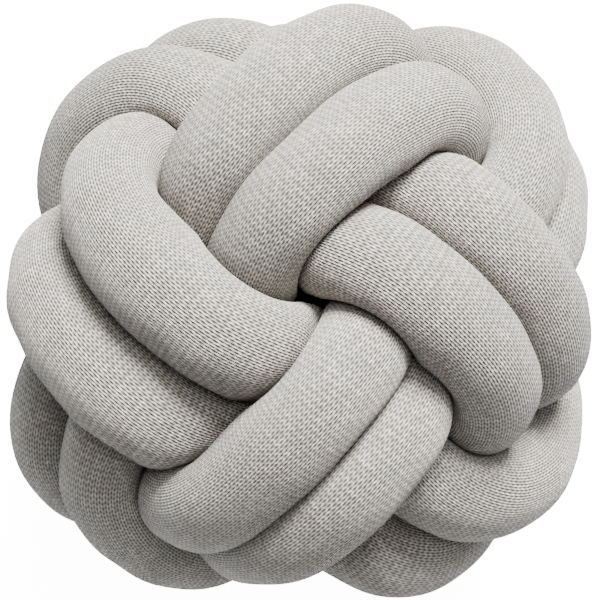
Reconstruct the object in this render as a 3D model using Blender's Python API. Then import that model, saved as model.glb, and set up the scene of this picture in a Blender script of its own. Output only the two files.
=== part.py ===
"""Knot cushion: a ball woven from four stuffed knitted tubes, about 0.29 m across.

Each tube runs twice round a ring of its own, so that it lies as a pair side by side. The four rings
lean like the four great circles through the corners of a cuboctahedron. They cross one another at
twelve places, over and under in turn, which leaves a small four-sided eye in the face of the ball.
Metres, +Z up. The face looks up along +Z, and the ball lies on its back at the origin.
"""

import math

import bmesh
import bpy
import numpy as np

# The ball
BALL_MIDDLE = np.array([0.0005, -0.0021, 0.1365])  # its height leaves small flats that the ball lies on
SHOULDER = 0.0055  # how much farther out a tube runs between crossings, and farther in at them
DIP_FLOOR = 0.080  # no dip goes much nearer to the ball's middle, so its bottom is wide enough for a pair
DIP_SOFTNESS = 0.010  # how gradually a dip levels out towards that floor
CROSSINGS_EACH_WAY = 3  # over crossings in one turn, and as many under crossings
FACE_TURN = -1.3  # degrees that the whole weave is turned about +Z
RING_TILT = math.atan(math.sqrt(0.5))  # of each ring's nearest point from the ball's poles

# How each ring lies, as the hand that tied it left it: angles in degrees, and lengths in metres.
# Reach is its mean distance from the ball's middle, and depth how far it rises and sinks at crossings.
# Half_spacing is from the middle of the pair to either of its tubes, and radius is a tube's own.
# Lean tips its plane about its two level lines, turn slides its crossings along it, shift moves it
# along its axis, sway bends the pair towards the eyes that it passes, and warp bends its plane.
RINGS = {
    "tube_north": {
        "bearing": 135.0, "lean_a": 6.5, "lean_b": 3.2, "turn": 3.4,
        "shift": 0.0043, "reach": 0.1124, "depth": 0.0323,
        "half_spacing": 0.0223, "sway": 0.0094,
        "warp_a": -0.0019, "warp_b": 0.0039, "radius": 0.0226,
    },
    "tube_east": {
        "bearing": 45.0, "lean_a": 9.2, "lean_b": 1.6, "turn": -0.4,
        "shift": -0.0042, "reach": 0.1055, "depth": 0.0295,
        "half_spacing": 0.0233, "sway": 0.0127,
        "warp_a": 0.0008, "warp_b": 0.0023, "radius": 0.0243,
    },
    "tube_south": {
        "bearing": -45.0, "lean_a": 2.8, "lean_b": -2.5, "turn": -7.7,
        "shift": -0.0038, "reach": 0.1115, "depth": 0.0294,
        "half_spacing": 0.0196, "sway": 0.0139,
        "warp_a": -0.0029, "warp_b": 0.0007, "radius": 0.0230,
    },
    "tube_west": {
        "bearing": -135.0, "lean_a": -5.9, "lean_b": 1.5, "turn": 2.7,
        "shift": 0.0013, "reach": 0.1073, "depth": 0.0306,
        "half_spacing": 0.0262, "sway": 0.0086,
        "warp_a": 0.0006, "warp_b": -0.0024, "radius": 0.0264,
    },
}

# The stuffed tube
PRESS_SHARPNESS = 9.0  # how abruptly a round flank turns into a pressed flat
BULGE_LIMIT = 1.03  # the most that a pressed section grows elsewhere to keep its filling
BULGE_ROUNDS = 3
BEND_FILL = 0.85  # share of the way to a bend's middle that a section may fill
BEND_STEP = 0.004  # length along the line either side of a place, from which its bend is measured
CLEARANCE = 0.0009  # between pressed flanks
REACH_OF_PRESS = 0.078  # passes farther off than this don't touch
SIDES = 14
SECTIONS = 146  # between the domed ends of one tube
DOME_LENGTH = 0.020
DOME_SECTIONS = 3
LINE_POINTS = 4000  # that a centre line is measured with
NEARBY_POINTS_EACH = 8  # every eighth of them is looked at for what presses on a section
TINY = 1e-6

# The join, under a crossing at the back, where the tube's two ends lie beside its change of lane
JOIN_ANGLE = math.radians(210)
LANE_CHANGE_HALF_ANGLE = math.radians(36)
END_HALF_ANGLE = math.radians(19)

# The knit
KNIT_COLOUR = (0.60, 0.58, 0.55)


def ring_axes(bearing):
    """Three unit vectors of a ring: towards its point nearest the face, onwards along it, and its axis."""
    angle = math.radians(bearing + FACE_TURN)
    level = np.array([math.cos(angle), math.sin(angle), 0.0])
    up = np.array([0.0, 0.0, 1.0])
    near_face = math.sin(RING_TILT) * level + math.cos(RING_TILT) * up
    axis = math.sin(RING_TILT) * up - math.cos(RING_TILT) * level
    return near_face, np.cross(near_face, axis), axis


def lane(angles):
    """Which side of the pair the tube is on: +1 through its first turn and -1 through its second."""
    change = (angles - JOIN_ANGLE - 2 * math.pi) / LANE_CHANGE_HALF_ANGLE
    return -np.sin(0.5 * math.pi * np.clip(change, -1.0, 1.0))


def centre_line(ring, angles):
    """Points of one tube's centre line at the given angles along its ring."""
    own = RINGS[ring]
    near_face, onwards, axis = ring_axes(own["bearing"])
    wave = CROSSINGS_EACH_WAY * (angles + math.radians(own["turn"]))
    over_floor = own["reach"] + own["depth"] * np.sin(wave) + SHOULDER * np.cos(2 * wave) - DIP_FLOOR
    reach = DIP_FLOOR + DIP_SOFTNESS * np.log1p(np.exp(over_floor / DIP_SOFTNESS))
    aside = lane(angles) * own["half_spacing"] + own["sway"] * np.cos(wave) + own["shift"]
    aside += reach * math.radians(own["lean_a"]) * np.cos(angles)
    aside += reach * math.radians(own["lean_b"]) * np.sin(angles)
    aside += own["warp_a"] * np.cos(2 * angles) + own["warp_b"] * np.sin(2 * angles)
    level = np.sqrt(reach**2 - aside**2)
    points = np.outer(level * np.cos(angles), near_face)
    points += np.outer(level * np.sin(angles), onwards)
    points += np.outer(aside, axis)
    return points + BALL_MIDDLE


def measured_line(ring):
    """A tube's centre line from tip to tip as close points, with the length along it at each."""
    start = JOIN_ANGLE + END_HALF_ANGLE
    end = JOIN_ANGLE - END_HALF_ANGLE + 4 * math.pi
    points = centre_line(ring, np.linspace(start, end, LINE_POINTS))
    steps = np.linalg.norm(np.diff(points, axis=0), axis=1)
    return points, np.concatenate(([0.0], np.cumsum(steps)))


def points_at(line, places):
    """Points of a measured line at the given lengths along it."""
    points, lengths = line
    return np.column_stack([np.interp(places, lengths, points[:, k]) for k in range(3)])


def section_places(length):
    """Lengths along a tube at which it has a section: close in the domes, and even between them."""
    dome = DOME_LENGTH * (1 - np.cos(np.linspace(0, 0.5 * math.pi, DOME_SECTIONS + 2)[1:-1]))
    middle = np.linspace(DOME_LENGTH, length - DOME_LENGTH, SECTIONS)
    return np.concatenate([dome, middle, length - dome[::-1]])


def free_radius(radius, place, length):
    """A tube's radius where nothing presses on it, which closes in a dome at each end."""
    from_tip = min(place, length - place, DOME_LENGTH)
    return radius * math.sqrt(1 - (1 - from_tip / DOME_LENGTH) ** 2)


def passes_near(ring, centre, place, lines):
    """Points of all centre lines near a place on one of them, but not of its own stretch through it."""
    found = []
    for name, line in lines.items():
        points, lengths = line[0][::NEARBY_POINTS_EACH], line[1][::NEARBY_POINTS_EACH]
        close = np.linalg.norm(points - centre, axis=1) < REACH_OF_PRESS
        if name == ring:
            close &= np.abs(lengths - place) > REACH_OF_PRESS
        found.append(points[close])
    return np.vstack(found)


def room_around(centre, rays, near, bend):
    """How far a section could reach along each ray: halfway to nearby passes, within its bend's middle."""
    offsets = near - centre
    facing = np.maximum(rays @ offsets.T, TINY)
    halfway = np.sum(offsets**2, axis=1) / (2 * facing)
    bend_middle = BEND_FILL / np.maximum(rays @ bend, TINY)
    return np.minimum(halfway.min(axis=1) - CLEARANCE / 2, bend_middle)


def pressed_radii(room, radius):
    """A section's reach along each ray, for tubing of the given radius in the given room."""
    return (radius**-PRESS_SHARPNESS + room**-PRESS_SHARPNESS) ** (-1 / PRESS_SHARPNESS)


def bulged_radii(room, radius):
    """The same for a section that bulges where nothing presses on it, to hold the same filling."""
    swollen = radius
    for _ in range(BULGE_ROUNDS):
        radii = pressed_radii(room, swollen)
        filling = np.mean(radii * np.roll(radii, 1))
        swollen = min(swollen * radius / math.sqrt(filling), radius * BULGE_LIMIT)
    return pressed_radii(room, swollen)


def least_around(radii):
    """Each radius made the least of itself and those beside it, so that flat faces stay within them all."""
    least = np.minimum(radii, np.minimum(np.roll(radii, 1, axis=1), np.roll(radii, -1, axis=1)))
    inner = np.minimum(least[1:-1], np.minimum(least[:-2], least[2:]))
    return np.vstack([least[:1], inner, least[-1:]])


def section_frames(line, places):
    """For each place along a line: its point, the rays to the corners of a section there, and its bend."""
    centres = points_at(line, places)
    before = points_at(line, places - BEND_STEP)
    after = points_at(line, places + BEND_STEP)
    bends = (before + after - 2 * centres) / BEND_STEP**2
    forward = (after - before) / np.linalg.norm(after - before, axis=1)[:, None]
    outward = centres - BALL_MIDDLE
    outward -= np.sum(outward * forward, axis=1)[:, None] * forward
    outward /= np.linalg.norm(outward, axis=1)[:, None]
    across = np.cross(forward, outward)
    turns = np.arange(2 * SIDES) * math.pi / SIDES
    rays = np.cos(turns)[:, None] * outward[:, None, :] + np.sin(turns)[:, None] * across[:, None, :]
    return centres, rays, bends


def tube_sections(ring, lines):
    """All sections of one tube from tip to tip, each as its corners. A tip has one corner."""
    length = lines[ring][1][-1]
    places = section_places(length)
    halves = (places[:-1] + places[1:]) / 2
    places = np.sort(np.concatenate([places, halves]))
    centres, rays, bends = section_frames(lines[ring], places)
    radii = []
    for k, centre in enumerate(centres):
        near = passes_near(ring, centre, places[k], lines)
        room = room_around(centre, rays[k], near, bends[k])
        radius = free_radius(RINGS[ring]["radius"], places[k], length)
        radii.append(bulged_radii(room, radius))
    radii = least_around(np.array(radii))
    sections = centres[:, None, :] + radii[:, :, None] * rays
    sections[:, :, 2] = np.maximum(sections[:, :, 2], 0.0)  # flat where the ball lies on its back
    tips = points_at(lines[ring], [0.0, length])
    return [tips[:1], *sections[::2, ::2], tips[1:]]


def knit_material(name):
    """Pale grey knitted wool, rough and without shine."""
    material = bpy.data.materials.new(name)
    material.use_nodes = True
    surface = material.node_tree.nodes["Principled BSDF"]
    surface.inputs["Base Color"].default_value = (*KNIT_COLOUR, 1.0)
    surface.inputs["Roughness"].default_value = 0.95
    surface.inputs["Metallic"].default_value = 0.0
    return material


def loft_tube(ring, lines, collection):
    """Joins a tube's sections into one closed skin."""
    skin = bmesh.new()
    loops = [[skin.verts.new(corner) for corner in section] for section in tube_sections(ring, lines)]
    for low, high in zip(loops, loops[1:]):
        for k in range(SIDES):
            here, after = k, (k + 1) % SIDES
            around = [low[here % len(low)], low[after % len(low)]]
            around += [high[after % len(high)], high[here % len(high)]]
            skin.faces.new(list(dict.fromkeys(around)))
    bmesh.ops.triangulate(skin, faces=skin.faces[:])
    bmesh.ops.recalc_face_normals(skin, faces=skin.faces[:])
    mesh = bpy.data.meshes.new(ring)
    skin.to_mesh(mesh)
    skin.free()
    mesh.shade_smooth()
    mesh.materials.append(knit_material(ring + "_knit"))
    collection.objects.link(bpy.data.objects.new(ring, mesh))


def main():
    for leftover in list(bpy.data.objects):
        bpy.data.objects.remove(leftover, do_unlink=True)
    collection = bpy.data.collections.new("Knot cushion")
    bpy.context.scene.collection.children.link(collection)
    lines = {ring: measured_line(ring) for ring in RINGS}
    for ring in RINGS:
        loft_tube(ring, lines, collection)


main()
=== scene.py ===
"""Knot cushion, dressed: four stuffed knitted tubes woven into a ball, pressed where they touch.

The tubes follow the same rings as the solids, but for a few millimetres where one was pushed
aside. Each is made here at the size of its knit, with a relief that runs along its ribs, and
wears a pale grey mottled stocking stitch.
Metres, +Z up. The ball lies on its back, and the face of the weave looks up at the camera.
"""

import math

import bpy
import numpy as np
from mathutils import Matrix, Vector


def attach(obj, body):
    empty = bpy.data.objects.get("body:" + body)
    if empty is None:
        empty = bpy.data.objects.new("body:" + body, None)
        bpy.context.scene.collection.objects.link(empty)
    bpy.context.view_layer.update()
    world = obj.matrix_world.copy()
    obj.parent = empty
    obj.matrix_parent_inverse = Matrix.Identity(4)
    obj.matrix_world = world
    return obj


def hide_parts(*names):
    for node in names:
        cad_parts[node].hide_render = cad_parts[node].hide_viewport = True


# The ball, as the solids have it
BALL_MIDDLE = np.array([0.0005, -0.0021, 0.1365])
SHOULDER = 0.0055  # how much farther out a tube runs between crossings, and farther in at them
DIP_FLOOR = 0.080  # no dip goes much nearer to the ball's middle, so that a pair has room in it
DIP_SOFTNESS = 0.010  # how gradually a dip levels out towards that floor
CROSSINGS_EACH_WAY = 3  # over crossings in one turn, and as many under crossings
FACE_TURN = -1.3  # degrees that the whole weave is turned about +Z
RING_TILT = math.atan(math.sqrt(0.5))  # of each ring's nearest point from the ball's poles

# How each ring lies, as the hand that tied it left it: angles in degrees, and lengths in metres.
# Reach is its mean distance from the ball's middle, and depth how far it rises and sinks at
# crossings. Half_spacing is from the middle of the pair to either of its tubes, and radius is a
# tube's own. Lean tips its plane about its two level lines, turn slides its crossings along it,
# shift moves it along its axis, sway bends the pair towards the eyes that it passes, and warp
# bends its plane.
RINGS = {
    "tube_north": {
        "bearing": 135.0, "lean_a": 6.5, "lean_b": 3.2, "turn": 3.4,
        "shift": 0.0043, "reach": 0.1124, "depth": 0.0323,
        "half_spacing": 0.0223, "sway": 0.0094,
        "warp_a": -0.0019, "warp_b": 0.0039, "radius": 0.0226,
    },
    "tube_east": {
        "bearing": 45.0, "lean_a": 9.2, "lean_b": 1.6, "turn": -0.4,
        "shift": -0.0042, "reach": 0.1055, "depth": 0.0295,
        "half_spacing": 0.0233, "sway": 0.0127,
        "warp_a": 0.0008, "warp_b": 0.0023, "radius": 0.0243,
    },
    "tube_south": {
        "bearing": -45.0, "lean_a": 2.8, "lean_b": -2.5, "turn": -7.7,
        "shift": -0.0038, "reach": 0.1115, "depth": 0.0294,
        "half_spacing": 0.0196, "sway": 0.0139,
        "warp_a": -0.0029, "warp_b": 0.0007, "radius": 0.0230,
    },
    "tube_west": {
        "bearing": -135.0, "lean_a": -5.9, "lean_b": 1.5, "turn": 2.7,
        "shift": 0.0013, "reach": 0.1073, "depth": 0.0306,
        "half_spacing": 0.0262, "sway": 0.0086,
        "warp_a": 0.0006, "warp_b": -0.0024, "radius": 0.0264,
    },
}
# Where that hand pushed a tube aside: degrees along its two turns, and metres along X, Y and Z
PUSHES = {
    "tube_north": [
        (245, (0.000, -0.003, 0.000)),
        (350, (-0.004, 0.001, -0.001)),
        (630, (-0.004, -0.002, 0.000)),
        (750, (-0.001, 0.003, 0.001)),
    ],
    "tube_east": [
        (265, (-0.002, 0.002, 0.000)),
        (345, (-0.004, -0.001, 0.000)),
        (780, (0.002, -0.003, 0.001)),
    ],
    "tube_south": [
        (270, (0.004, 0.003, 0.001)),
        (300, (0.003, 0.002, 0.002)),
        (350, (0.002, -0.003, 0.000)),
        (390, (-0.001, 0.001, -0.001)),
        (420, (-0.001, -0.002, 0.000)),
        (660, (-0.003, 0.000, -0.001)),
        (780, (0.001, 0.003, 0.000)),
    ],
    "tube_west": [
        (275, (0.002, -0.002, 0.000)),
        (345, (0.001, -0.002, 0.000)),
        (420, (-0.001, 0.004, 0.001)),
        (645, (0.000, -0.003, 0.000)),
        (720, (-0.002, -0.003, 0.000)),
        (750, (0.000, -0.003, 0.000)),
    ],
}
PUSH_HALF_ANGLE = math.radians(30)  # to either side of a push, over which it fades out
JOIN_ANGLE = math.radians(210)  # along its ring, where a tube's two ends lie under a crossing
LANE_CHANGE_HALF_ANGLE = math.radians(36)  # to either side of that, over which it changes sides
END_HALF_ANGLE = math.radians(19)  # from there to either of its tips

# The stuffing
STAND_PROUD = 0.0004  # of the solids, where nothing presses
PRESS_SHARPNESS = 11.0  # of the turn from the round of a section to its pressed flat
BULGE_LIMIT = 1.03  # the most that a pressed section swells, times its radius
BULGE_ROUNDS = 3  # of swelling until a section holds its filling again
BEND_FILL = 0.85  # how far a section may reach, as a share of the way to the middle of its bend
BEND_STEP = 0.004  # along a tube, to either side of a place, to find how it bends there
CREASE_GAP = 0.0003  # between two tubes that press on each other
REACH_OF_PRESS = 0.078  # two places on the centre lines farther apart than this don't press
DOME_LENGTH = 0.020  # over which a tube closes at each end
LUMP_HEIGHT = 0.0008  # the most that a lump stands out or sinks in
LUMP_FADE = 8  # how sharply the lumps fade where a tube is pressed or closes
LUMP_WAVES = [  # how far apart the lumps lie along X, Y and Z, in patterns laid over one another
    (0.083, 0.061, 0.127),
    (-0.049, 0.093, 0.057),
    (0.071, -0.045, 0.066),
    (0.151, 0.052, -0.043),
]

# How finely the tubes are made
SECTIONS = 380  # along a tube, between its domes
DOME_SECTIONS = 8  # in each dome
LINE_POINTS = 4000  # on a centre line, from tip to tip
NEARBY_POINTS_EACH = 8  # one in so many of these stands for what presses
TINY = 1e-6
BAKE_CELLS = 3  # the tube is cut into three times three lengths for its baked picture
BAKE_MARGIN = 0.006  # round each of them, as a share of that picture

# The shape of the knit
RIB_WIDTH = 0.00133  # half a wale, which is one leg of its stitches
COURSE_PITCH = 0.0025  # one stitch along the tube
LEG_CLIMB = 0.5  # how many courses a leg of a stitch climbs across its rib
RIB_RELIEF = 0.00012  # how far a rib stands over the line of holes beside it
GAP_SHARPNESS = 0.7  # of the gaps between one leg of a stitch and the next
LEG_GAP = 0.45  # how deep such a gap is on top of a rib, against its depth between ribs
VALLEY_SHARE = 0.38  # of the whole depth, for the unbroken valley between two ribs
STITCH_RELIEF = 0.0005  # the depth of the gaps, as the light finds it
VALLEY_RELIEF = 0.35  # how much deeper than that the valleys are, as a share of it
FIBRE_RELIEF = 0.5  # how high the fibres stand, as a share of it
RIB_WAVER = 0.16  # by how many ribs the stitches waver across them, in all
RIB_WAVER_SCALE = 300.0
COURSE_DRIFT = 0.36  # by how many courses they drift along them
COURSE_DRIFT_SCALE = 150.0

# The colours of the knit, in linear red, green and blue, each after the tone that it belongs to
YARN_TONES = [
    (0.38, (0.29, 0.268, 0.234)),
    (0.76, (0.49, 0.455, 0.401)),
    (1.00, (0.90, 0.848, 0.765)),
]
MOTTLE_SHARE = 0.7  # the most that the mottling adds to the tone
MOTTLE_ACROSS_RIBS = 0.35  # below 1, so that the mottling is drawn out across the ribs
MOTTLE_SCALE = 1.0  # for each course
MOTTLE_DETAIL = 3.0
MOTTLE_ROUGHNESS = 0.6
STITCH_SHARE = 0.2  # the most that one stitch is paler than the next
FIBRE_SHARE = 0.65  # the most that the single fibres add
FIBRE_SCALE = 1700.0
FIBRE_ROUGHNESS = 0.7
BLUSH_SCALE = 60.0
BLUSH_TONES = [  # from a little cool to a little warm
    (0.35, (0.985, 1.0, 1.0)),
    (0.65, (1.0, 0.965, 0.945)),
]
GAP_SHADE_CURVE = 0.6  # below 1, so that the painted shade of the gaps reaches up the legs of a stitch, and a leg is bright only along its crown
# Painted shade: the colour that the gaps between stitches darken towards, by their depth
GAP_PAINTED_SHADE = (0.040, 0.038, 0.035)
KNIT_FINISH = {
    "Roughness": 0.92,
    "Specular IOR Level": 0.2,
    "Sheen Weight": 0.10,
    "Sheen Roughness": 0.45,
    "Sheen Tint": (0.95, 0.94, 0.92, 1.0),
}

# The studio
FLOOR_SIDE = 12.0
FLOOR_FINISH = {
    "Roughness": 0.9,
    "Specular IOR Level": 0.1,
    "Emission Color": (1.0, 1.0, 1.0, 1.0),
}
FLOOR_PAINTED_SHADE_AND_WHITE = [  # by distance from the middle: painted shade, near black, where the eye shows the floor through the ball, and near white outside
    (0.05, (0.02, 0.02, 0.02)),
    (0.10, (0.97, 0.97, 0.97)),
]
GLOW_START = 0.07  # from the middle, still under the cushion
GLOW_FULL = 0.14
FLOOR_GLOW = 14.0
LIT_PLACE = Vector((0.0, 0.0, 0.12))  # in the cushion, and all lights face it
LIGHTS = {
    "key": {"place": (0.6, 2.5, 3.1), "side": 1.6, "power": 1090.0},
    "overhead": {"place": (0.0, 0.9, 4.4), "side": 2.6, "power": 160.0},
    "fill": {"place": (1.4, -2.4, 1.6), "side": 1.6, "power": 14.0},
}
SURROUND_COLOUR = (1.0, 1.0, 1.0, 1.0)
SURROUND_STRENGTH = 0.03

# The camera
CAMERA_DISTANCE = 1.141  # from the ball's middle
CAMERA_TILT = math.radians(-6.93)  # from straight above, towards -Y
CAMERA_SWING = math.radians(4.34)  # and towards -X
SENSOR_WIDTH = 36.0  # in millimetres, as the lens is
LENS = 135.0
LENS_SHIFT = (-0.0046, -0.0002)


def ring_axes(bearing):
    """Three unit vectors of a ring: to its point nearest the face, onwards along it, and its axis."""
    angle = math.radians(bearing + FACE_TURN)
    level = np.array([math.cos(angle), math.sin(angle), 0.0])
    up = np.array([0.0, 0.0, 1.0])
    near_face = math.sin(RING_TILT) * level + math.cos(RING_TILT) * up
    axis = math.sin(RING_TILT) * up - math.cos(RING_TILT) * level
    return near_face, np.cross(near_face, axis), axis


def lane(angles):
    """Which side of the pair the tube is on: +1 through its first turn and -1 through its second."""
    change = (angles - JOIN_ANGLE - 2 * math.pi) / LANE_CHANGE_HALF_ANGLE
    return -np.sin(0.5 * math.pi * np.clip(change, -1.0, 1.0))


def pushed_aside(ring, angles):
    """How far a tube lies from its even course, at the given angles along its ring."""
    total = np.zeros((len(angles), 3))
    for at, push in PUSHES[ring]:
        apart = np.clip((angles - math.radians(at)) / PUSH_HALF_ANGLE, -1.0, 1.0)
        total += np.outer(np.cos(0.5 * math.pi * apart) ** 2, push)
    return total


def centre_line(ring, angles):
    """Points of one tube's centre line at the given angles along its ring."""
    own = RINGS[ring]
    near_face, onwards, axis = ring_axes(own["bearing"])
    wave = CROSSINGS_EACH_WAY * (angles + math.radians(own["turn"]))
    over_floor = own["reach"] + own["depth"] * np.sin(wave) + SHOULDER * np.cos(2 * wave) - DIP_FLOOR
    reach = DIP_FLOOR + DIP_SOFTNESS * np.log1p(np.exp(over_floor / DIP_SOFTNESS))
    aside = lane(angles) * own["half_spacing"] + own["sway"] * np.cos(wave) + own["shift"]
    aside += reach * math.radians(own["lean_a"]) * np.cos(angles)
    aside += reach * math.radians(own["lean_b"]) * np.sin(angles)
    aside += own["warp_a"] * np.cos(2 * angles) + own["warp_b"] * np.sin(2 * angles)
    level = np.sqrt(reach**2 - aside**2)
    points = np.outer(level * np.cos(angles), near_face)
    points += np.outer(level * np.sin(angles), onwards)
    points += np.outer(aside, axis)
    return points + pushed_aside(ring, angles) + BALL_MIDDLE


def measured_line(ring):
    """A tube's centre line from tip to tip as close points, with the length along it at each."""
    start = JOIN_ANGLE + END_HALF_ANGLE
    end = JOIN_ANGLE - END_HALF_ANGLE + 4 * math.pi
    points = centre_line(ring, np.linspace(start, end, LINE_POINTS))
    steps = np.linalg.norm(np.diff(points, axis=0), axis=1)
    return points, np.concatenate(([0.0], np.cumsum(steps)))


def points_at(line, places):
    """Points of a measured line at the given lengths along it."""
    points, lengths = line
    return np.column_stack([np.interp(places, lengths, points[:, k]) for k in range(3)])


def section_places(length):
    """Lengths along a tube at which it has a section: close in the domes, and even between them."""
    dome = DOME_LENGTH * (1 - np.cos(np.linspace(0, 0.5 * math.pi, DOME_SECTIONS + 2)[1:-1]))
    middle = np.linspace(DOME_LENGTH, length - DOME_LENGTH, SECTIONS)
    return np.concatenate([dome, middle, length - dome[::-1]])


def free_radius(radius, place, length):
    """The tube's radius where nothing presses on it, which closes in a dome at each end."""
    from_tip = min(place, length - place, DOME_LENGTH)
    return radius * math.sqrt(1 - (1 - from_tip / DOME_LENGTH) ** 2)


def passes_near(ring, centre, place, lines):
    """Points of all centre lines near a place on one of them, but not of its own stretch there."""
    found = []
    for name, line in lines.items():
        points, lengths = line[0][::NEARBY_POINTS_EACH], line[1][::NEARBY_POINTS_EACH]
        close = np.linalg.norm(points - centre, axis=1) < REACH_OF_PRESS
        if name == ring:
            close &= np.abs(lengths - place) > REACH_OF_PRESS
        found.append(points[close])
    return np.vstack(found)


def room_around(centre, rays, near, bend):
    """How far a section could reach along each ray: halfway to nearby passes, within its bend."""
    offsets = near - centre
    facing = np.maximum(rays @ offsets.T, TINY)
    halfway = np.sum(offsets**2, axis=1) / (2 * facing)
    bend_middle = BEND_FILL / np.maximum(rays @ bend, TINY)
    return np.minimum(halfway.min(axis=1) - CREASE_GAP / 2, bend_middle)


def pressed_radii(room, radius):
    """A section's reach along each ray, for tubing of the given radius in the given room."""
    return (radius**-PRESS_SHARPNESS + room**-PRESS_SHARPNESS) ** (-1 / PRESS_SHARPNESS)


def bulged_radii(room, radius):
    """The same for a section that bulges where nothing presses on it, to hold the same filling."""
    swollen = radius
    for _ in range(BULGE_ROUNDS):
        radii = pressed_radii(room, swollen)
        filling = np.mean(radii * np.roll(radii, 1))
        swollen = min(swollen * radius / math.sqrt(filling), radius * BULGE_LIMIT)
    return pressed_radii(room, swollen)


def section_frames(line, places, corners):
    """For each place along a line: its point, the rays to a section's corners, and its bend."""
    centres = points_at(line, places)
    before = points_at(line, places - BEND_STEP)
    after = points_at(line, places + BEND_STEP)
    bends = (before + after - 2 * centres) / BEND_STEP**2
    forward = (after - before) / np.linalg.norm(after - before, axis=1)[:, None]
    outward = centres - BALL_MIDDLE
    outward -= np.sum(outward * forward, axis=1)[:, None] * forward
    outward /= np.linalg.norm(outward, axis=1)[:, None]
    across = np.cross(forward, outward)
    turns = np.arange(corners) * 2 * math.pi / corners
    rays = np.cos(turns)[:, None] * outward[:, None, :] + np.sin(turns)[:, None] * across[:, None, :]
    return centres, rays, bends


def lumps(points):
    """How far the loose filling pushes the knit out or lets it sink, at each of the given points."""
    heights = np.zeros(points.shape[:-1])
    for wave in LUMP_WAVES:
        heights += np.sin(points @ (2 * math.pi / np.array(wave)))
    return LUMP_HEIGHT * heights / len(LUMP_WAVES)


def rib_count(ring):
    """Half wales round a tube, which go in pairs."""
    return 2 * round(math.pi * RINGS[ring]["radius"] / RIB_WIDTH)


def tube_skin(ring, lines):
    """The places of a tube's sections along it, their corners as one array, and its two tips."""
    length = lines[ring][1][-1]
    places = section_places(length)
    around = 2 * rib_count(ring)  # corners lie in turn between two ribs and on top of one
    relief = RIB_RELIEF * np.where(np.arange(around) % 2 == 1, 0.5, -0.5)
    centres, rays, bends = section_frames(lines[ring], places, around)
    full = RINGS[ring]["radius"] + STAND_PROUD
    radii = []
    for k, centre in enumerate(centres):
        near = passes_near(ring, centre, places[k], lines)
        room = room_around(centre, rays[k], near, bends[k])
        free = free_radius(full, places[k], length)
        radii.append(bulged_radii(room, free) + relief * free / full)
    radii = np.array(radii)
    radii += lumps(centres[:, None, :] + radii[:, :, None] * rays) * (radii / full) ** LUMP_FADE
    corners = centres[:, None, :] + radii[:, :, None] * rays
    corners[:, :, 2] = np.maximum(corners[:, :, 2], 0.0)  # flat where the ball lies on its back
    return places, corners, points_at(lines[ring], [0.0, length])


def skin_faces(sections, around):
    """Outward faces of a closed tube skin: corners are numbered by section, then the two tips."""
    number = np.arange(sections * around).reshape(sections, around)
    onwards = np.roll(number, -1, axis=1)
    walls = np.stack([number[:-1], onwards[:-1], onwards[1:], number[1:]], axis=-1).reshape(-1, 4)
    first, last = sections * around, sections * around + 1
    faces = walls.tolist()
    faces += [[first, b, a] for a, b in zip(number[0], onwards[0])]
    faces += [[last, a, b] for a, b in zip(number[-1], onwards[-1])]
    return faces


def face_corners(mesh):
    """For each corner of each face in turn: the number of its vertex, and of its face."""
    vertex = np.empty(len(mesh.loops), np.int64)
    mesh.loops.foreach_get("vertex_index", vertex)
    sizes = np.empty(len(mesh.polygons), np.int64)
    mesh.polygons.foreach_get("loop_total", sizes)
    return vertex, np.repeat(np.arange(len(sizes)), sizes)


def stitch_places(mesh, places, around):
    """For each corner of each face: its place along the tube, its rib, and two section numbers.

    The numbers are of the first section that its face touches, and of its own.
    """
    vertex, face = face_corners(mesh)
    faces = len(mesh.polygons)
    sections = len(places)
    section = np.minimum(vertex // around, sections - 1)
    tip = vertex >= sections * around
    along = places[section]
    along[tip] = np.where(vertex[tip] == sections * around, 0.0, places[-1] + places[0])

    # The faces that close a section count on to its full number, and not back to nought
    turn = (vertex % around).astype(float)
    closes = np.zeros(faces, bool)
    closes[face[(turn == around - 1) & ~tip]] = True
    turn[(turn == 0) & closes[face] & ~tip] = around

    # A tip lies halfway between the two other corners of its face
    mean_turn = np.bincount(face, np.where(tip, 0.0, turn)) / np.bincount(face, ~tip)
    turn[tip] = mean_turn[face[tip]]
    first_section = np.full(faces, sections)
    np.minimum.at(first_section, face, np.where(tip & (along == 0.0), 0, section))
    return along, turn / 2, first_section[face], section


def write_map(mesh, name, across, up):
    """Gives a mesh a UV map from one number across and one up for each corner of its faces."""
    layer = mesh.uv_layers.new(name=name)
    layer.uv.foreach_set("vector", np.column_stack([across, up]).astype(np.float32).ravel())


def map_tube(mesh, places, around):
    """Two maps: one counts ribs and courses for the knit, and one lays lengths side by side."""
    along, rib, first_section, section = stitch_places(mesh, places, around)
    write_map(mesh, "knit", rib, along / COURSE_PITCH)
    cells = BAKE_CELLS**2
    each = math.ceil((len(places) - 1) / cells)
    cell = np.minimum(first_section // each, cells - 1)
    share = np.clip((section - cell * each) / each, 0.0, 1.0)
    inner = 1 - 2 * BAKE_MARGIN * BAKE_CELLS
    turn = 2 * rib / around
    across = (cell % BAKE_CELLS + 0.5 + (share - 0.5) * inner) / BAKE_CELLS
    up = (cell // BAKE_CELLS + 0.5 + (turn - 0.5) * inner) / BAKE_CELLS
    write_map(mesh, "OFBake", across, up)


def make_tube(ring, lines, material):
    """One stuffed knitted tube, as a closed skin in place of its solid."""
    places, corners, tips = tube_skin(ring, lines)
    sections, around = corners.shape[:2]
    mesh = bpy.data.meshes.new(ring + "_knitted")
    mesh.from_pydata(np.vstack([corners.reshape(-1, 3), tips]), [], skin_faces(sections, around))
    mesh.shade_smooth()
    map_tube(mesh, places, around)
    mesh.materials.append(material)
    tube = bpy.data.objects.new(ring + "_knitted", mesh)
    bpy.context.scene.collection.objects.link(tube)
    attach(tube, "root")
    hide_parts(ring)


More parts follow.
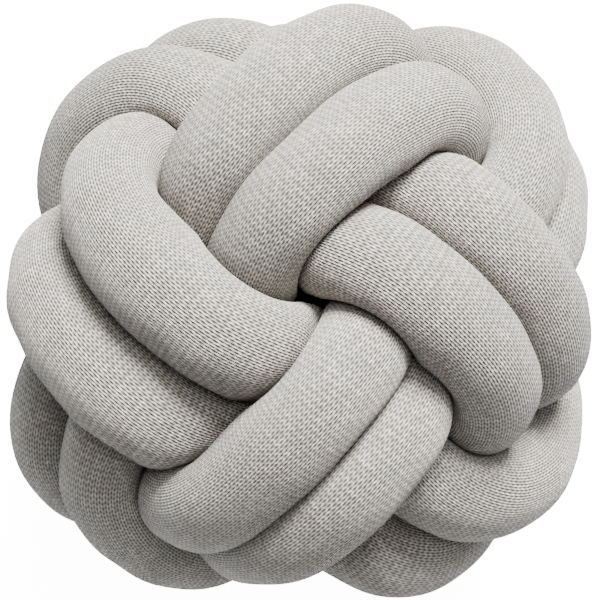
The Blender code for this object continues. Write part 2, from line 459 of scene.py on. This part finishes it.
def make_tubes():
    """All four tubes, of one knit."""
    material = knit_material()
    lines = {ring: measured_line(ring) for ring in RINGS}
    for ring in RINGS:
        make_tube(ring, lines, material)
    bpy.context.view_layer.update()


class Nodes:
    """Short ways to add and join the nodes of one material."""

    def __init__(self, material):
        self.tree = material.node_tree

    def add(self, kind, **settings):
        """A new node, with its settings."""
        node = self.tree.nodes.new(kind)
        for name, value in settings.items():
            setattr(node, name, value)
        return node

    def feed(self, socket, value):
        """Joins a socket to another node's output, or sets it where it is given a plain value."""
        if isinstance(value, bpy.types.NodeSocket):
            self.tree.links.new(value, socket)
        else:
            socket.default_value = value

    def math(self, operation, *values):
        """The result of one step of arithmetic."""
        node = self.add("ShaderNodeMath", operation=operation)
        for socket, value in zip(node.inputs, values):
            self.feed(socket, value)
        return node.outputs[0]

    def noise(self, place, scale, detail=2.0, roughness=0.5):
        """Soft noise from about 0 to 1."""
        node = self.add("ShaderNodeTexNoise")
        self.feed(node.inputs["Vector"], place)
        node.inputs["Scale"].default_value = scale
        node.inputs["Detail"].default_value = detail
        node.inputs["Roughness"].default_value = roughness
        return node.outputs["Fac"]

    def ramp(self, value, stops):
        """The colour that goes with a value, by two or more pairs of a value and its colour."""
        node = self.add("ShaderNodeValToRGB")
        self.feed(node.inputs[0], value)
        elements = node.color_ramp.elements
        while len(elements) < len(stops):
            elements.new(0.5)
        for element, (position, colour) in zip(elements, stops):
            element.position = position
            element.color = (*colour, 1.0)
        return node.outputs[0]

    def mix(self, share, one, other, blend="MIX"):
        """Two colours mixed. They have sockets 6 and 7 of the node, and the result has output 2."""
        node = self.add("ShaderNodeMix", data_type="RGBA", blend_type=blend)
        self.feed(node.inputs[0], share)
        self.feed(node.inputs[6], one)
        self.feed(node.inputs[7], other)
        return node.outputs[2]


def new_material(name, finish):
    """A material with a plain finish: itself, its nodes, and its surface shader."""
    material = bpy.data.materials.new(name)
    material.use_nodes = True
    surface = material.node_tree.nodes["Principled BSDF"]
    for socket, value in finish.items():
        surface.inputs[socket].default_value = value
    return material, Nodes(material), surface


def uneven(nodes, count, place, scale, amount):
    """A count of ribs or courses, put out a little here and there, as no stitch is quite even."""
    shift = nodes.math("MULTIPLY_ADD", nodes.noise(place, scale, detail=1.0), amount, -0.5 * amount)
    return nodes.math("ADD", count, shift)


def stitch_pattern(nodes, rib, course):
    """From rib and course counts: how deep a place lies, how near a valley, and in which stitch."""
    zigzag = nodes.math("PINGPONG", rib, 1.0)
    leg = nodes.math("MULTIPLY_ADD", zigzag, LEG_CLIMB, course)
    between_legs = nodes.math("COSINE", nodes.math("MULTIPLY", leg, 2 * math.pi))
    between_ribs = nodes.math("COSINE", nodes.math("MULTIPLY", rib, 2 * math.pi))
    gap = nodes.math("POWER", nodes.math("MULTIPLY_ADD", between_legs, -0.5, 0.5), GAP_SHARPNESS)
    valley = nodes.math("MULTIPLY_ADD", between_ribs, 0.5, 0.5)
    depth = nodes.math("MULTIPLY", gap, nodes.math("MULTIPLY_ADD", valley, 1 - LEG_GAP, LEG_GAP))
    depth = nodes.math("MULTIPLY", depth, 1 - VALLEY_SHARE)
    depth = nodes.math("MULTIPLY_ADD", valley, VALLEY_SHARE, depth)
    stitch = nodes.add("ShaderNodeCombineXYZ")
    nodes.feed(stitch.inputs[0], nodes.math("FLOOR", rib))
    nodes.feed(stitch.inputs[1], nodes.math("FLOOR", leg))
    return depth, valley, stitch.outputs[0]


def yarn_colour(nodes, rib, course, stitch, fibre):
    """Mottled yarn. It runs round the tube, so its colours lie in short streaks across the ribs."""
    yarn_place = nodes.add("ShaderNodeCombineXYZ")
    nodes.feed(yarn_place.inputs[0], nodes.math("MULTIPLY", rib, MOTTLE_ACROSS_RIBS))
    nodes.feed(yarn_place.inputs[1], course)
    mottle = nodes.noise(yarn_place.outputs[0], MOTTLE_SCALE, MOTTLE_DETAIL, MOTTLE_ROUGHNESS)
    each_stitch = nodes.add("ShaderNodeTexWhiteNoise", noise_dimensions="3D")
    nodes.feed(each_stitch.inputs["Vector"], stitch)
    tone = nodes.math("MULTIPLY", mottle, MOTTLE_SHARE)
    tone = nodes.math("MULTIPLY_ADD", each_stitch.outputs["Value"], STITCH_SHARE, tone)
    tone = nodes.math("MULTIPLY_ADD", fibre, FIBRE_SHARE, tone)
    return nodes.ramp(tone, YARN_TONES)


def knit_bump(nodes, depth, valley, fibre):
    """The relief of the stitches and of their fibres."""
    height = nodes.math("MULTIPLY_ADD", valley, -VALLEY_RELIEF, nodes.math("MULTIPLY", depth, -1.0))
    height = nodes.math("MULTIPLY_ADD", fibre, FIBRE_RELIEF, height)
    bump = nodes.add("ShaderNodeBump")
    bump.inputs["Strength"].default_value = 1.0
    bump.inputs["Distance"].default_value = STITCH_RELIEF
    nodes.feed(bump.inputs["Height"], height)
    return bump.outputs[0]


def knit_material():
    """Pale grey mottled stocking stitch with painted shade in its gaps, soft and dull, with a thin
    bloom of loose fibre.
    """
    material, nodes, surface = new_material("mottled grey stocking stitch", KNIT_FINISH)
    place = nodes.add("ShaderNodeTexCoord").outputs["Object"]
    counts = nodes.add("ShaderNodeSeparateXYZ")
    nodes.feed(counts.inputs[0], nodes.add("ShaderNodeUVMap", uv_map="knit").outputs[0])
    rib, course = counts.outputs[0], counts.outputs[1]
    wavering_rib = uneven(nodes, rib, place, RIB_WAVER_SCALE, RIB_WAVER)
    drifting_course = uneven(nodes, course, place, COURSE_DRIFT_SCALE, COURSE_DRIFT)
    depth, valley, stitch = stitch_pattern(nodes, wavering_rib, drifting_course)
    fibre = nodes.noise(place, FIBRE_SCALE, roughness=FIBRE_ROUGHNESS)

    yarn = yarn_colour(nodes, rib, course, stitch, fibre)
    blush = nodes.ramp(nodes.noise(place, BLUSH_SCALE), BLUSH_TONES)
    colour = nodes.mix(1.0, yarn, blush, "MULTIPLY")
    # Painted shade: the yarn's colour darkens towards the gaps between stitches, by their depth
    shadow = nodes.math("POWER", depth, GAP_SHADE_CURVE)
    colour = nodes.mix(shadow, colour, (*GAP_PAINTED_SHADE, 1.0))
    nodes.feed(surface.inputs["Base Color"], colour)
    nodes.feed(surface.inputs["Normal"], knit_bump(nodes, depth, valley, fibre))
    return material


def floor_material():
    """Near white with a glow of its own, and painted shade under the cushion: near black and unlit
    where the eye shows it.
    """
    material, nodes, surface = new_material("studio floor", FLOOR_FINISH)
    place = nodes.add("ShaderNodeTexCoord").outputs["Object"]
    from_middle = nodes.add("ShaderNodeVectorMath", operation="LENGTH")
    nodes.feed(from_middle.inputs[0], place)
    glow = nodes.add("ShaderNodeMapRange")
    nodes.feed(glow.inputs["Value"], from_middle.outputs["Value"])
    glow.inputs["From Min"].default_value = GLOW_START
    glow.inputs["From Max"].default_value = GLOW_FULL
    glow.inputs["To Max"].default_value = FLOOR_GLOW
    # Painted shade: the floor is near black under the cushion, where it shows through the eye
    nodes.feed(surface.inputs["Base Color"], nodes.ramp(from_middle.outputs["Value"], FLOOR_PAINTED_SHADE_AND_WHITE))
    nodes.feed(surface.inputs["Emission Strength"], glow.outputs["Result"])
    return material


def make_floor():
    """A pale floor under the ball, with painted shade under the cushion."""
    bpy.ops.mesh.primitive_plane_add(size=FLOOR_SIDE, location=(0.0, 0.0, 0.0))
    floor = bpy.context.object
    floor.name = "floor"
    floor.data.materials.append(floor_material())
    floor.visible_diffuse = False  # else it would light the shaded side, dark in the photograph


def add_light(name, place, side, power):
    """A soft square light that faces the cushion."""
    light = bpy.data.lights.new(name, "AREA")
    light.energy = power
    light.size = side
    lamp = bpy.data.objects.new(name, light)
    lamp.location = place
    lamp.rotation_euler = (LIT_PLACE - Vector(place)).to_track_quat("-Z", "Y").to_euler()
    bpy.context.scene.collection.objects.link(lamp)


def make_surround():
    """A faint even light from all around."""
    world = bpy.data.worlds.new("pale surround")
    world.use_nodes = True
    background = world.node_tree.nodes["Background"]
    background.inputs["Color"].default_value = SURROUND_COLOUR
    background.inputs["Strength"].default_value = SURROUND_STRENGTH
    bpy.context.scene.world = world


def make_studio():
    """Soft light from the head of the photograph, a weak fill and a pale surround."""
    make_floor()
    for name, light in LIGHTS.items():
        add_light(name, light["place"], light["side"], light["power"])
    make_surround()


def make_camera():
    """Looks down on the face of the weave from the photograph's side."""
    data = bpy.data.cameras.new("camera")
    data.sensor_width = SENSOR_WIDTH
    data.lens = LENS
    data.shift_x, data.shift_y = LENS_SHIFT
    camera = bpy.data.objects.new("camera", data)
    to_view = Matrix.Rotation(CAMERA_TILT, 3, "X") @ Matrix.Rotation(CAMERA_SWING, 3, "Y")
    turned = to_view.transposed()
    place = Vector(BALL_MIDDLE) + turned @ Vector((0.0, 0.0, CAMERA_DISTANCE))
    camera.matrix_world = Matrix.Translation(place) @ turned.to_4x4()
    bpy.context.scene.collection.objects.link(camera)
    bpy.context.scene.camera = camera


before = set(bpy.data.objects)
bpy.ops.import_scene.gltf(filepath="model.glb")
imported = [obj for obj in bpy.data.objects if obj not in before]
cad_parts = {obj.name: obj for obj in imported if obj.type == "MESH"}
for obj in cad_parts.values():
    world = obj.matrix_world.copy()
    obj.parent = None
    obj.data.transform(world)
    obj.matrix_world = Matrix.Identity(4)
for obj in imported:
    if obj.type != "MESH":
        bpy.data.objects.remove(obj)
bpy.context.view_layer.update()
bpy.ops.object.select_all(action="DESELECT")
make_camera()
make_studio()
make_tubes()
